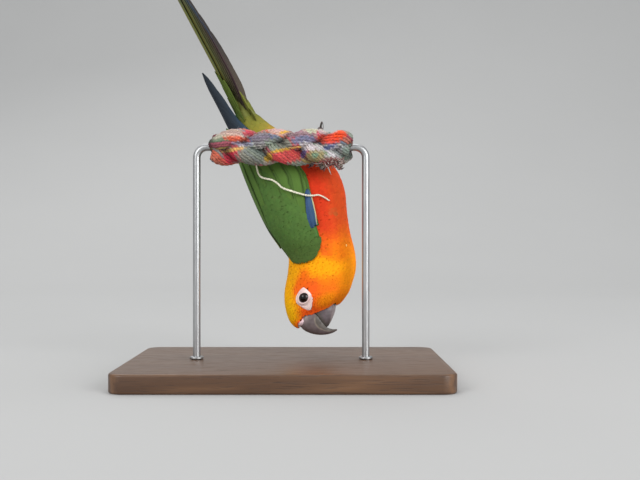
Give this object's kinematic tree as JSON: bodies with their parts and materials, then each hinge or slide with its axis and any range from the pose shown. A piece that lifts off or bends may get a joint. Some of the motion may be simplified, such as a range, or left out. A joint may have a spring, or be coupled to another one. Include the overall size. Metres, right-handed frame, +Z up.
{
  "type": "jenday conure on a rope perch",
  "caption": "Life-size still model of a small orange and green parrot hanging head down from a cut length of braided rope, on a plain display stand.",
  "frame": {"origin": "middle of the base's underside", "axes": "+X along the rope perch towards the side that the bill points to, +Z up, -Y on the side of the bird's left flank"},
  "size_m": [0.21, 0.14, 0.2953],
  "materials": {
    "face_plumage": "soft feathers, yellow to orange-red",
    "breast_plumage": "soft feathers, orange-red",
    "wing_plumage": "smooth feathers, green with a blue edge",
    "tail_plumage": "smooth feathers, olive and dusky",
    "bill": "smooth horn, satin",
    "eye": "wet gloss",
    "foot": "scaly skin",
    "rope": "fuzzy cotton yarns of many colours",
    "thread": "soft cotton yarn",
    "stand_wood": "dark satin wood",
    "stand_rod": "brushed"
  },
  "bodies": {
    "root": {"head": "face_plumage", "neck": "face_plumage", "torso": "breast_plumage", "leg_left": "breast_plumage", "leg_right": "breast_plumage", "wing_left": "wing_plumage", "wing_right": "wing_plumage", "tail": "tail_plumage", "bill_upper": "bill", "bill_lower": "bill", "eye_left": "eye", "eye_right": "eye", "foot_left": "foot", "foot_right": "foot", "perch_rope": "rope", "perch_thread": "thread", "stand_base": "stand_wood", "stand_rod_left": "stand_rod", "stand_rod_right": "stand_rod"}
  },
  "joints": []
}
